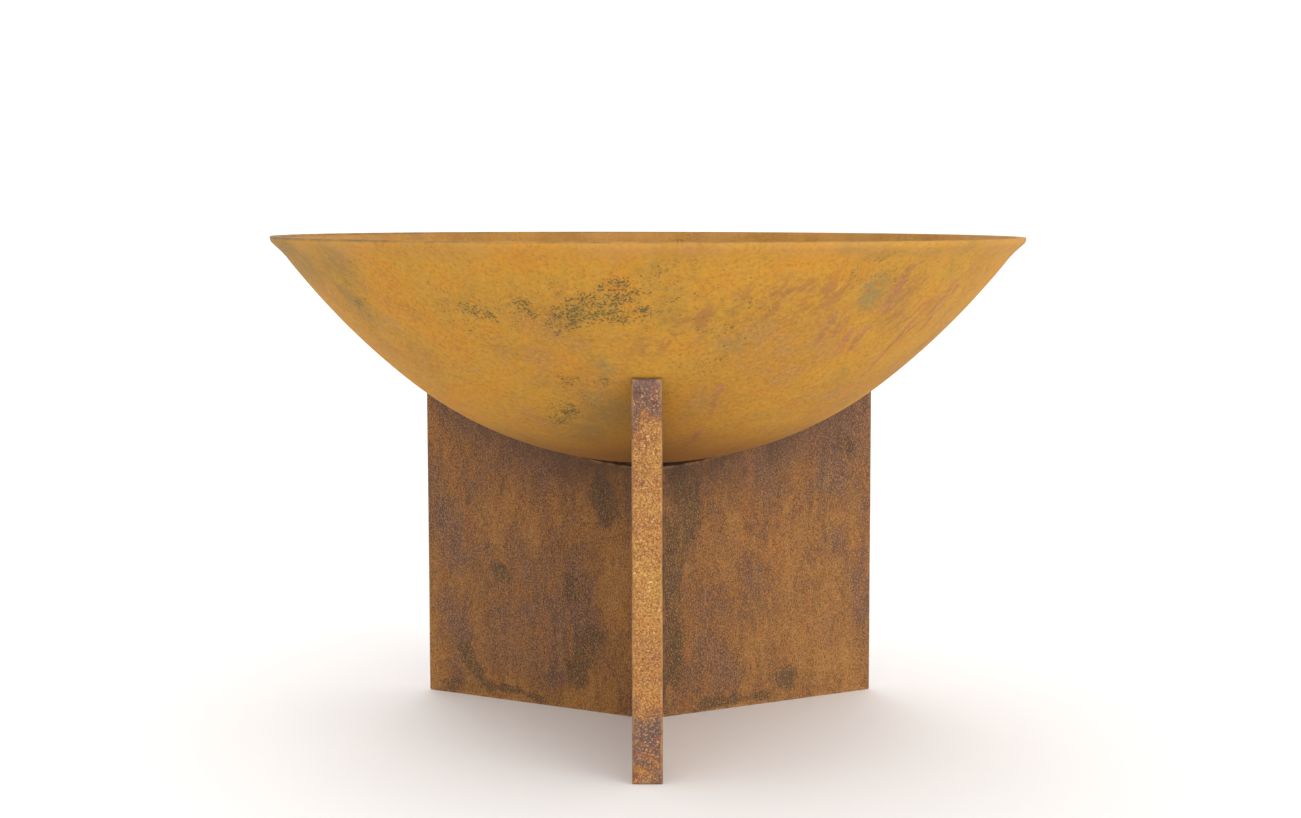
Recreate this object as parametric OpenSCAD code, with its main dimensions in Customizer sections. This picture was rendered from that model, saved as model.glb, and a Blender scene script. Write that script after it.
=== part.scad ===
// Fire pit: a dished cast bowl resting on three hollow sheet-steel blades, with a lift-out bar grate.
// The origin is on the ground under the middle of the bowl, +Z is up and one blade points along -Y.

/* [Bowl] */
// Diameter over the rim's lip
bowl_d = 800; // [770:5:830]
// Height of the bowl's underside above the ground, on the axis
bowl_floor_h = 281; // [260:1:320]
// Wall thickness of the casting
bowl_wall = 5; // [4:0.5:7]
// Outside radius of the belly arc, from the axis outwards
belly_r = 407; // [400:1:420]
// Angle from straight down at which the belly turns into the flatter flare
belly_angle = 38.5; // [36:0.5:41]
// Outside radius of the flare arc, up to the rim
flare_r = 731; // [700:1:760]
// Radius of the lip's rounded outer edge
lip_r = 8; // [6:0.5:9]
// Height of that radius's centre above the outer face of the wall
lip_rise = 8.6; // [8:0.1:9]
// Distance inwards from the rim at which the lip starts to thicken
lip_w = 14; // [13:0.5:18]
// Height of the flat rim top above the centre of the lip's radius
rim_rise = 1.5; // [0.5:0.5:3]

/* [Blades] */
// Distance from the axis to a blade's outer face
blade_len = 285.5; // [270:0.5:295]
// Thickness of a blade over both side plates
blade_t = 30; // [26:1:36]
// Thickness of the sheet that the base is made of
sheet_t = 3; // [2:0.5:4]
// Outside radius of the two folded vertical edges
fold_r = 3; // [3:0.5:5]
// Radius of the rounded bottom outer corner
foot_r = 3.5; // [2:0.5:6]
// Radius of the rounded tip between the saddle and the outer face
tip_r = 3; // [2:0.5:4]
// Gap under the bowl on the axis, where the saddles stay clear of it
centre_gap = 5.8; // [4:0.1:8]
// Gap left under the bowl where the blade tips carry it
seat_gap = 0.4; // [0.3:0.1:0.8]

/* [Grate] */
// Diameter over the grate's hoop
grate_d = 480; // [440:5:500]
// Side of the square bars
bar_w = 10; // [8:1:12]
// Number of parallel bars
bar_count = 11; // [11:1:11]
// Distance between bar centres
bar_pitch = 38; // [34:1:39]
// Distance of each cross bar from the middle
cross_y = 80; // [60:5:100]
// Distance that the bar ends stay inside the hoop's outer face
bar_setback = 1; // [0.5:0.5:3]
// Diameter of the handles' rod
rod_d = 8; // [6:0.5:9]
// Distance between the centres of a handle's legs
handle_w = 80; // [60:5:100]
// Height of a handle's top rod above the bars, to its centre
handle_h = 40; // [35:1:50]
// Bend radius of a handle, to the rod's centre
handle_bend_r = 15; // [12:1:20]

/* [Hidden] */
$fn = 120;
BLADES = ["front", "back_left", "back_right"];
BLADE_ANGLES = [-90, 150, 30];
CROSS_BARS = ["front", "back"];
HANDLES = ["left", "right"];
SIDES = [-1, 1];

BOWL_RUST = [0.74, 0.52, 0.24];
SHEET_RUST = [0.50, 0.36, 0.24];
GRATE_RUST = [0.34, 0.25, 0.19];

// Bowl: the belly arc is centred on the axis and the flare arc is tangent to it.
belly_cz = bowl_floor_h + belly_r;
flare_cx = -(flare_r - belly_r) * sin(belly_angle);
flare_cz = belly_cz + (flare_r - belly_r) * cos(belly_angle);
lip_c = [bowl_d / 2 - lip_r, wall_z(bowl_d / 2 - lip_r, 0) + lip_rise];
rim_h = lip_c[1] + rim_rise;

// Height of the wall's face at radius r, with the face set in from the outside of the bowl by inset.
function wall_z(r, inset) =
    r < (belly_r - inset) * sin(belly_angle)
        ? belly_cz - sqrt(pow(belly_r - inset, 2) - r * r)
        : flare_cz - sqrt(pow(flare_r - inset, 2) - pow(r - flare_cx, 2));

// Blades: one arc centred on the axis, low in the middle and close to the bowl near the tips.
hub_reach = blade_t / (2 * sqrt(3));
hub_corner_r = 2 * hub_reach;
saddle_low = bowl_floor_h - centre_gap;
seat_r = blade_len - 1.6 * tip_r;
seat_rise = wall_z(seat_r, 0) - seat_gap - saddle_low;
saddle_r = (seat_r * seat_r + seat_rise * seat_rise) / (2 * seat_rise);
saddle_cz = saddle_low + saddle_r;
tip_cx = blade_len - tip_r;
tip_cz = saddle_cz - sqrt(pow(saddle_r + tip_r, 2) - tip_cx * tip_cx);
inner_w = blade_t - 2 * sheet_t;

// Grate: the hoop's lower outer edge sits just clear of the bowl's inner face.
hoop_r = grate_d / 2;
hoop_z = wall_z(hoop_r, bowl_wall) + seat_gap;
bars_z = hoop_z + bar_w;
handle_x = (bar_count - 1) / 2 * bar_pitch;

// Bowl
module dish_section(inset) {
    reach = 2 * belly_r;
    turn = [reach * sin(belly_angle), belly_cz - reach * cos(belly_angle)];
    intersection() {
        translate([0, belly_cz]) circle(belly_r - inset);
        polygon([[0, belly_cz], [0, belly_cz - reach], turn]);
    }
    intersection() {
        translate([flare_cx, flare_cz]) circle(flare_r - inset);
        polygon([[0, belly_cz], turn, [reach, turn[1]], [reach, belly_cz]]);
    }
}

// The lip's underside is straight, from the wall up to where it meets the round edge tangentially.
module lip_section() {
    start = [bowl_d / 2 - lip_w, wall_z(bowl_d / 2 - lip_w, 0)];
    to_centre = lip_c - start;
    turn = atan2(to_centre[1], to_centre[0]) - asin(lip_r / norm(to_centre));
    polygon([start, lip_c + lip_r * [sin(turn), -cos(turn)], lip_c]);
    translate(lip_c) circle(lip_r);
}

module bowl_section() {
    difference() {
        intersection() {
            union() {
                dish_section(0);
                lip_section();
            }
            square([bowl_d, rim_h]);
        }
        dish_section(bowl_wall);
    }
}

module bowl() {
    color(BOWL_RUST) rotate_extrude($fn = 360) bowl_section();
}

// Base
module hub_triangle(corner_r) {
    rotate(90) circle(corner_r, $fn = 3);
}

module hub_tube() {
    color(SHEET_RUST) linear_extrude(saddle_low) difference() {
        hub_triangle(hub_corner_r);
        hub_triangle(hub_corner_r - 2 * sheet_t);
    }
}

module hub_cap() {
    color(SHEET_RUST) translate([0, 0, saddle_low - sheet_t])
        linear_extrude(sheet_t) hub_triangle(hub_corner_r - 2 * sheet_t);
}

// A blade seen from above, lying along +X.
module blade_plan() {
    difference() {
        union() {
            translate([hub_reach, -blade_t / 2])
                square([blade_len - fold_r - hub_reach, blade_t]);
            translate([hub_reach, fold_r - blade_t / 2])
                square([blade_len - hub_reach, blade_t - 2 * fold_r]);
            for (side = SIDES)
                translate([blade_len - fold_r, side * (blade_t / 2 - fold_r)]) circle(fold_r);
        }
        translate([0, -inner_w / 2]) square([blade_len - sheet_t, inner_w]);
    }
}

// A blade seen from the side: distance from the axis along X, height along Y.
module blade_side() {
    top = tip_cz + 2 * tip_r;
    to_saddle = [-tip_cx, saddle_cz - tip_cz] / (saddle_r + tip_r);
    difference() {
        union() {
            translate([hub_reach, 0]) square([blade_len - foot_r - hub_reach, top]);
            translate([hub_reach, foot_r]) square([blade_len - hub_reach, top - foot_r]);
            translate([blade_len - foot_r, foot_r]) circle(foot_r);
        }
        translate([0, saddle_cz]) circle(saddle_r);
        polygon([
            [tip_cx, tip_cz],
            [tip_cx, tip_cz] + 2 * tip_r * to_saddle,
            [blade_len + 1, top + 1],
            [blade_len + 1, tip_cz]
        ]);
    }
    translate([tip_cx, tip_cz]) circle(tip_r);
}

// Stands a side view upright along +X, w thick.
module stand_up(w) {
    rotate([90, 0, 0]) linear_extrude(w, center = true) children();
}

module blade_shell(angle) {
    color(SHEET_RUST) rotate([0, 0, angle]) intersection() {
        linear_extrude(rim_h) blade_plan();
        stand_up(2 * blade_t) blade_side();
    }
}

module saddle_strip(angle) {
    color(SHEET_RUST) rotate([0, 0, angle]) stand_up(inner_w) intersection() {
        blade_side();
        translate([0, saddle_cz]) circle(saddle_r + sheet_t);
        translate([hub_reach, sheet_t]) square([blade_len - sheet_t - hub_reach, rim_h]);
    }
}

module base_strip(angle) {
    color(SHEET_RUST) rotate([0, 0, angle]) stand_up(inner_w) intersection() {
        blade_side();
        translate([hub_reach, 0]) square([blade_len - sheet_t - hub_reach, sheet_t]);
    }
}

// Grate
module grate_ring() {
    color(GRATE_RUST) rotate_extrude() translate([hoop_r - bar_w, hoop_z]) square(bar_w);
}

module grate_cross_bar(side) {
    color(GRATE_RUST) translate([0, 0, hoop_z]) intersection() {
        translate([-hoop_r, side * cross_y - bar_w / 2, 0]) cube([grate_d, bar_w, bar_w]);
        cylinder(h = bar_w, r = hoop_r - bar_w);
    }
}

module grate_bar(i) {
    x = (i - (bar_count + 1) / 2) * bar_pitch;
    half = sqrt(pow(hoop_r - bar_setback, 2) - pow(abs(x) + bar_w / 2, 2));
    color(GRATE_RUST) translate([x - bar_w / 2, -half, bars_z]) cube([bar_w, 2 * half, bar_w]);
}

// A handle drawn flat, legs along +Y, then stood up across the grate's outermost bar.
module grate_handle(side) {
    leg = handle_h - handle_bend_r;
    span = handle_w / 2 - handle_bend_r;
    color(GRATE_RUST) translate([side * handle_x, 0, bars_z + bar_w]) rotate([90, 0, 90]) {
        for (turn = [0, 180]) rotate([0, turn, 0]) {
            translate([handle_w / 2, 0, 0]) rotate([-90, 0, 0]) cylinder(h = leg, d = rod_d);
            translate([span, leg, 0])
                rotate_extrude(angle = 90) translate([handle_bend_r, 0]) circle(d = rod_d);
        }
        translate([0, handle_h, 0]) rotate([0, 90, 0])
            cylinder(h = 2 * span, d = rod_d, center = true);
    }
}

bowl();
hub_tube();
hub_cap();
for (k = [0:2]) {
    blade_shell(BLADE_ANGLES[k]);
    saddle_strip(BLADE_ANGLES[k]);
    base_strip(BLADE_ANGLES[k]);
}
grate_ring();
for (k = [0:1]) {
    grate_cross_bar(SIDES[k]);
    grate_handle(SIDES[k]);
}
for (i = [1:bar_count])
    grate_bar(i);
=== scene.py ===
import math

import bmesh
import bpy
from mathutils import Matrix, Vector, noise


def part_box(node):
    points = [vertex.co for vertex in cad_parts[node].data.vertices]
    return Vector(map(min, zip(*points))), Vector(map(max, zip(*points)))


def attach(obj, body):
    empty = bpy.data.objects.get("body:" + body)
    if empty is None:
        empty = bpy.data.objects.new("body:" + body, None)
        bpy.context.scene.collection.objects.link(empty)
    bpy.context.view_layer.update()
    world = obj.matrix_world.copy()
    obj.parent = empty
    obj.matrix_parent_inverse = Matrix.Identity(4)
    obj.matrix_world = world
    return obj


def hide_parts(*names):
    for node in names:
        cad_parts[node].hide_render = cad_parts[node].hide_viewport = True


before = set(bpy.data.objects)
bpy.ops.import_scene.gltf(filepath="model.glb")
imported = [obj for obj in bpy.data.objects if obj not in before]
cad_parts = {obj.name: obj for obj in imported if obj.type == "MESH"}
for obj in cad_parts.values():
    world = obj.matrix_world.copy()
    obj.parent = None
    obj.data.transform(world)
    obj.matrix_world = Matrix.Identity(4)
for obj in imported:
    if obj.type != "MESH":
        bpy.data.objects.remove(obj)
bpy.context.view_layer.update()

# ---------------------------------------------------------------------------
# Sizes, in metres. What the frame can tell comes from the frame.
# ---------------------------------------------------------------------------

BELLY_R = 0.407  # outside radius of the bowl's belly arc, centred on the axis
FLARE_R = 0.731  # outside radius of the flatter arc from the belly to the rim
BELLY_ANGLE = math.radians(38.5)  # where the belly turns into the flare
BOWL_WALL = 0.005
LIP_R = 0.008  # radius of the lip's rounded outer edge
LIP_W = 0.014  # how far in from the rim the lip starts to thicken
RIM_RISE = 0.0015  # height of the flat rim top above the centre of the lip's radius
SHEET = 0.003  # thickness of the base's sheet
FOLD_R = 0.003  # outside radius of a blade's folded edges
FOOT_R = 0.0035  # radius of a blade's bottom outer corner
TIP_R = 0.003  # radius of a blade's tip
SEAT_GAP = 0.0004  # room between a blade's tip and the bowl
RIM_SAG = 0.003  # how far the casting has sagged at one side of its rim
SAG_FROM_Z = 0.40  # height at which that sag starts
SHADED = 0.080  # how far below the bowl the painted shade darkens the blades' sides
BAR = 0.010  # side of the grate's square bars
ROD_R = 0.004  # radius of the grate handles' rod
HANDLE_BEND_R = 0.015  # bend radius of a handle, to the rod's centre
MM = 0.001

BLADES = {"front": -90, "back_left": 150, "back_right": 30}  # azimuths, in degrees
BAR_NAMES = [f"grate_bar_{i}" for i in range(1, 12)]
CROSS_BARS = ["grate_cross_bar_front", "grate_cross_bar_back"]
HANDLES = ["grate_handle_left", "grate_handle_right"]

bowl_low, bowl_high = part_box("bowl")
BELLY_CZ = bowl_low.z + BELLY_R
FLARE_CX = -(FLARE_R - BELLY_R) * math.sin(BELLY_ANGLE)
FLARE_CZ = BELLY_CZ + (FLARE_R - BELLY_R) * math.cos(BELLY_ANGLE)
RIM_Z = bowl_high.z
LIP_C = Vector((bowl_high.x - LIP_R, RIM_Z - RIM_RISE))

front_low, front_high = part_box("blade_shell_front")
BLADE_LEN = -front_low.y
BLADE_T = front_high.x - front_low.x
HUB_REACH = BLADE_T / (2 * math.sqrt(3))  # where a blade's plates start
SADDLE_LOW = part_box("hub_tube")[1].z


def wall_z(r, inset):
    """Height of the bowl's wall at radius r, inset from its outside."""
    if r < (BELLY_R - inset) * math.sin(BELLY_ANGLE):
        return BELLY_CZ - math.sqrt((BELLY_R - inset) ** 2 - r * r)
    return FLARE_CZ - math.sqrt((FLARE_R - inset) ** 2 - (r - FLARE_CX) ** 2)


SEAT_R = BLADE_LEN - 1.6 * TIP_R
SEAT_RISE = wall_z(SEAT_R, 0) - SEAT_GAP - SADDLE_LOW
SADDLE_R = (SEAT_R ** 2 + SEAT_RISE ** 2) / (2 * SEAT_RISE)
SADDLE_CZ = SADDLE_LOW + SADDLE_R
TIP_CX = BLADE_LEN - TIP_R
TIP_CZ = SADDLE_CZ - math.sqrt((SADDLE_R + TIP_R) ** 2 - TIP_CX ** 2)
TIP_START = TIP_CX * SADDLE_R / (SADDLE_R + TIP_R)


def saddle_z(s):
    """Height of a blade's top edge at distance s from the axis."""
    if s <= TIP_START:
        return SADDLE_CZ - math.sqrt(SADDLE_R ** 2 - s * s)
    return TIP_CZ + math.sqrt(max(TIP_R ** 2 - (s - TIP_CX) ** 2, 0))


def foot_z(s):
    """Height of a blade's bottom edge at distance s from the axis."""
    past = s - (BLADE_LEN - FOOT_R)
    return FOOT_R - math.sqrt(max(FOOT_R ** 2 - past ** 2, 0)) if past > 0 else 0.0


# ---------------------------------------------------------------------------
# Mesh helpers
# ---------------------------------------------------------------------------


def spread(start, end, steps):
    """steps + 1 evenly spaced values from start to end."""
    return [start + (end - start) * i / steps for i in range(steps + 1)]


def arc(cx, cz, radius, start, end, steps):
    """Points along an arc, its angles counted from straight down towards +X."""
    return [(cx + radius * math.sin(a), cz - radius * math.cos(a)) for a in spread(start, end, steps)]


def bend(a, corner, b, steps):
    """Points of a soft corner between a and b, without a and b themselves."""
    found = []
    for t in spread(0, 1, steps)[1:-1]:
        weights = ((1 - t) ** 2, 2 * t * (1 - t), t * t)
        found.append(tuple(sum(w * p[k] for w, p in zip(weights, (a, corner, b))) for k in (0, 1)))
    return found


def grid_faces(rows, columns, wrap_rows=False, wrap_columns=False):
    """Quads between rows * columns points that are stored row by row."""
    faces = []
    for i in range(rows if wrap_rows else rows - 1):
        for j in range(columns if wrap_columns else columns - 1):
            here, there = i * columns, (i + 1) % rows * columns
            k = (j + 1) % columns
            faces.append((here + j, here + k, there + k, there + j))
    return faces


def clean(mesh, sharp_degrees):
    """Joins double points, turns every face outwards and shades the mesh smooth but for sharp edges."""
    bm = bmesh.new()
    bm.from_mesh(mesh)
    bmesh.ops.remove_doubles(bm, verts=bm.verts, dist=1e-6)
    bmesh.ops.dissolve_degenerate(bm, edges=bm.edges, dist=1e-6)
    bmesh.ops.recalc_face_normals(bm, faces=bm.faces)
    bm.to_mesh(mesh)
    bm.free()
    mesh.shade_smooth()
    mesh.set_sharp_from_angle(angle=math.radians(sharp_degrees))


def piece(name, points, faces, material, body, replaced=(), masks=None, sharp_degrees=35):
    """A mesh that rides on a body. masks holds one list of numbers, one per point, for each mask's name."""
    mesh = bpy.data.meshes.new(name)
    mesh.from_pydata([tuple(p) for p in points], [], faces)
    for mask, values in (masks or {}).items():
        mesh.attributes.new(mask, "FLOAT", "POINT").data.foreach_set("value", values)
    clean(mesh, sharp_degrees)
    obj = bpy.data.objects.new(name, mesh)
    bpy.context.scene.collection.objects.link(obj)
    obj.data.materials.append(material)
    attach(obj, body)
    if replaced:
        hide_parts(*replaced)
    return obj


def rough(point, scale, seed=0.0):
    """Smooth noise from 0 to 1 at a point."""
    return 0.5 + 0.5 * noise.noise(Vector(point) * scale + Vector((seed, 1.7 * seed, -seed)))


def tube(path, radius_at, sides=8):
    """Points and faces of a closed tube along a path, with flat caps at its ends."""
    path = [Vector(p) for p in path]
    points, rings = [], []
    for i, here in enumerate(path):
        ahead = (path[min(i + 1, len(path) - 1)] - path[max(i - 1, 0)]).normalized()
        side = ahead.cross(Vector((0, 0, 1)))
        if side.length < 0.01:
            side = Vector((1, 0, 0))
        side.normalize()
        up = side.cross(ahead)
        rings.append((here, side, up))
    for i, (here, side, up) in enumerate(rings):
        for k in range(sides):
            a = 2 * math.pi * k / sides
            points.append(here + radius_at(i) * (math.cos(a) * side + math.sin(a) * up))
    faces = grid_faces(len(path), sides, wrap_columns=True)
    faces.append(tuple(range(sides))[::-1])
    faces.append(tuple(range((len(path) - 1) * sides, len(path) * sides)))
    return points, faces


def merged(parts):
    """One list of points and faces from several."""
    points, faces = [], []
    for more_points, more_faces in parts:
        start = len(points)
        points += more_points
        faces += [tuple(start + i for i in f) for f in more_faces]
    return points, faces


def weld(path, radius, seed=0.0):
    """A rippled weld bead along a path of close points."""
    last = len(path) - 1

    def radius_at(i):
        ends = min(1.0, 0.35 + 0.4 * min(i, last - i))
        ripple = 1 + 0.10 * math.sin(2.1 * i + seed)
        return radius * ends * ripple * (0.85 + 0.3 * rough(path[i], 140, seed))

    return tube(path, radius_at)


def turned(points, azimuth):
    """Points given along +X, turned to an azimuth in degrees."""
    turn = Matrix.Rotation(math.radians(azimuth), 3, "Z")
    return [turn @ Vector(p) for p in points]


# ---------------------------------------------------------------------------
# Materials
# ---------------------------------------------------------------------------


LIT = 1.22  # how much brighter than its own colour a surface that faces the camera shows in this light


def srgb(red, green, blue):
    """The colour to give a surface that shows as this one, from 0 to 255, in the scene's light."""
    found = []
    for value in (red, green, blue):
        v = value / 255
        found.append((v / 12.92 if v <= 0.04045 else ((v + 0.055) / 1.055) ** 2.4) / LIT)
    return (*found, 1.0)


class Graph:
    """A material's nodes, made one call at a time."""

    def __init__(self, name, roughness):
        self.material = bpy.data.materials.new(name)
        self.material.use_nodes = True
        self.tree = self.material.node_tree
        self.shader = self.tree.nodes["Principled BSDF"]
        self.shader.inputs["Specular IOR Level"].default_value = 0.3
        self.shader.inputs["Roughness"].default_value = roughness
        self.place = self.node("ShaderNodeTexCoord").outputs["Object"]

    def node(self, kind, inputs=None, **settings):
        made = self.tree.nodes.new(kind)
        for key, value in settings.items():
            setattr(made, key, value)
        for key, value in (inputs or {}).items():
            self.feed(made.inputs[key], value)
        return made

    def feed(self, socket, value):
        if isinstance(value, bpy.types.NodeSocket):
            self.tree.links.new(value, socket)
        else:
            socket.default_value = value

    def noise(self, scale, detail=3.0, rough_share=0.5, distortion=0.0, place=None):
        made = self.node("ShaderNodeTexNoise", {
            "Vector": place or self.place, "Scale": scale, "Detail": detail,
            "Roughness": rough_share, "Distortion": distortion,
        })
        return made.outputs["Fac"]

    def upright(self, share):
        """The place, drawn out along Z."""
        return self.node("ShaderNodeVectorMath", {0: self.place, 1: (1, 1, share)}, operation="MULTIPLY").outputs[0]

    def slanted(self, degrees, share):
        """The place, drawn out along a line that rises by degrees from +X towards +Z."""
        turned_place = self.node("ShaderNodeVectorRotate", {"Vector": self.place, "Angle": math.radians(degrees)},
                                 rotation_type="Y_AXIS").outputs[0]
        return self.node("ShaderNodeVectorMath", {0: turned_place, 1: (share, 1, 1)},
                         operation="MULTIPLY").outputs[0]

    def moved(self, amount, scale):
        """The place, pushed about by noise, so that the edges of what is drawn on it wander."""
        wander = self.node("ShaderNodeTexNoise", {"Vector": self.place, "Scale": scale, "Detail": 2.0})
        centred = self.node("ShaderNodeVectorMath", {0: wander.outputs["Color"], 1: (0.5, 0.5, 0.5)},
                            operation="SUBTRACT").outputs[0]
        scaled = self.node("ShaderNodeVectorMath", {0: centred, "Scale": amount}, operation="SCALE").outputs[0]
        return self.node("ShaderNodeVectorMath", {0: self.place, 1: scaled}, operation="ADD").outputs[0]

    def sums(self, operation, a, b=0.0, clamp=False):
        return self.node("ShaderNodeMath", {0: a, 1: b}, operation=operation, use_clamp=clamp).outputs[0]

    def between(self, value, low, high, bottom=0.0, top=1.0):
        """value's way from low to high as a smooth step from bottom to top."""
        made = self.node("ShaderNodeMapRange", {
            "Value": value, "From Min": low, "From Max": high, "To Min": bottom, "To Max": top,
        }, interpolation_type="SMOOTHSTEP")
        return made.outputs["Result"]

    def mix(self, share, a, b):
        """Colour a with a share of colour b over it."""
        made = self.node("ShaderNodeMix", data_type="RGBA")
        for socket, value in ((made.inputs[0], share), (made.inputs[6], a), (made.inputs[7], b)):
            self.feed(socket, value)
        return made.outputs[2]

    def ramp(self, value, *stops):
        """A colour for value, from stops of a value and a colour each."""
        made = self.node("ShaderNodeValToRGB", {"Fac": value})
        elements = made.color_ramp.elements
        while len(elements) < len(stops):
            elements.new(0.5)
        for element, (position, colour) in zip(elements, stops):
            element.position, element.color = position, colour
        return made.outputs["Color"]

    def mask(self, name):
        return self.node("ShaderNodeAttribute", attribute_name=name).outputs["Fac"]

    def height_of(self):
        return self.node("ShaderNodeSeparateXYZ", {0: self.place}).outputs["Z"]

    def near(self, place, a, b, reach):
        """1 on the stretch from point a to point b, fading to 0 at a distance of reach."""
        a, b = Vector(a), Vector(b)
        along = b - a
        to_place = self.node("ShaderNodeVectorMath", {0: place, 1: tuple(a)}, operation="SUBTRACT").outputs[0]
        share = 0.0
        if along.length > 1e-6:
            share = self.node("ShaderNodeVectorMath", {0: to_place, 1: tuple(along / along.length_squared)},
                              operation="DOT_PRODUCT").outputs["Value"]
            share = self.sums("ADD", share, 0.0, clamp=True)
        foot = self.node("ShaderNodeVectorMath", {0: tuple(along), "Scale": share}, operation="SCALE").outputs[0]
        distance = self.node("ShaderNodeVectorMath", {0: to_place, 1: foot}, operation="DISTANCE").outputs["Value"]
        return self.between(distance, 0.0, reach, 1.0, 0.0)

    def most(self, values):
        found = values[0]
        for value in values[1:]:
            found = self.sums("MAXIMUM", found, value)
        return found

    def marks(self, place, marks):
        """The strongest of several marks, each two points and a reach."""
        return self.most([self.near(place, a, b, reach) for a, b, reach in marks])

    def bump(self, height, distance, strength=1.0, normal=None):
        made = self.node("ShaderNodeBump", {"Height": height, "Distance": distance, "Strength": strength})
        if normal is not None:
            self.feed(made.inputs["Normal"], normal)
        return made.outputs["Normal"]

    def finish(self, colour, roughness, normal):
        self.feed(self.shader.inputs["Base Color"], colour)
        self.feed(self.shader.inputs["Roughness"], roughness)
        self.feed(self.shader.inputs["Normal"], normal)
        return self.material


def on_bowl(degrees, r):
    """A point on the bowl's outside at radius r, degrees round from the front towards +X."""
    a = math.radians(degrees)
    return Vector((r * math.sin(a), -r * math.cos(a), wall_z(r, 0)))


def on_plate(name, s, z):
    """A point on the side of a blade that the front view shows, at distance s from the axis and height z."""
    azimuth = math.radians(BLADES[name])
    side = 1 if name == "back_left" else -1
    across = side * BLADE_T / 2
    return Vector((s * math.cos(azimuth) - across * math.sin(azimuth),
                   s * math.sin(azimuth) + across * math.cos(azimuth), z))


def wandered_from(point):
    """A point near the given one, so that the edges of a mark wander."""
    return point + 0.010 * Vector([noise.noise(point * 16 + Vector((shift, shift, 0))) for shift in (0, 40, 80)])


def strongest(point, marks):
    """How strongly the nearest of several marks colours a point: 1 on a mark, 0 at its reach.

    Each mark is the stretch between two points, and its reach.
    """
    wandered = wandered_from(point)
    found = 0.0
    for a, b, reach in marks:
        along = b - a
        share = (wandered - a).dot(along) / max(along.length_squared, 1e-12)
        distance = (wandered - a - along * min(1.0, max(0.0, share))).length / reach
        if distance < 1:
            found = max(found, 1 - distance * distance * (3 - 2 * distance))
    return found


BOWL_MARKS = {
    "sparse": [  # few flecks
        (on_bowl(-32, 0.342), on_bowl(4, 0.368), 0.075), (on_bowl(-24, 0.215), on_bowl(-12, 0.270), 0.050),
        (on_bowl(-57, 0.335), on_bowl(-50, 0.378), 0.050), (on_bowl(10, 0.300), on_bowl(16, 0.345), 0.050),
        (on_bowl(32, 0.375), on_bowl(42, 0.370), 0.035), (on_bowl(8, 0.335), on_bowl(26, 0.338), 0.030),
        (on_bowl(92, 0.330), on_bowl(112, 0.360), 0.080), (on_bowl(146, 0.300), on_bowl(160, 0.340), 0.075),
        (on_bowl(192, 0.360), on_bowl(206, 0.320), 0.080), (on_bowl(236, 0.345), on_bowl(250, 0.372), 0.070),
    ],
    "smudged": [  # brown, brushed on aslant
        (on_bowl(17, 0.352), on_bowl(32, 0.366), 0.044), (on_bowl(44, 0.350), on_bowl(52, 0.330), 0.050),
        (on_bowl(1, 0.325), on_bowl(9, 0.345), 0.044), (on_bowl(130, 0.340), on_bowl(160, 0.320), 0.080),
        (on_bowl(210, 0.340), on_bowl(235, 0.320), 0.080),
    ],
    "bloomed": [  # grey-green bloom
        (on_bowl(36, 0.366), on_bowl(36, 0.356), 0.026), (on_bowl(13, 0.318), on_bowl(15, 0.314), 0.013),
        (on_bowl(-9, 0.300), on_bowl(-8, 0.290), 0.014), (on_bowl(120, 0.350), on_bowl(122, 0.360), 0.034),
        (on_bowl(220, 0.330), on_bowl(222, 0.320), 0.030),
    ],
    "grimy": [  # dark specks close to the rim
        (on_bowl(-86, 0.396), on_bowl(-64, 0.396), 0.026), (on_bowl(34, 0.394), on_bowl(44, 0.392), 0.010),
        (on_bowl(110, 0.392), on_bowl(135, 0.392), 0.018), (on_bowl(215, 0.392), on_bowl(228, 0.392), 0.016),
    ],
    "olive_haze_and_shade": [  # olive haze, which on the left rim, beside the front blade and along the lip at the right is painted shade as well
        (on_bowl(-85, 0.390), on_bowl(-52, 0.385), 0.050), (on_bowl(-58, 0.362), on_bowl(-55, 0.342), 0.030),
        (on_bowl(-9, 0.240), on_bowl(-20, 0.180), 0.040), (on_bowl(28, 0.395), on_bowl(52, 0.395), 0.016),
        (on_bowl(128, 0.375), on_bowl(150, 0.360), 0.060), (on_bowl(228, 0.370), on_bowl(245, 0.350), 0.060),
    ],
}


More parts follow.
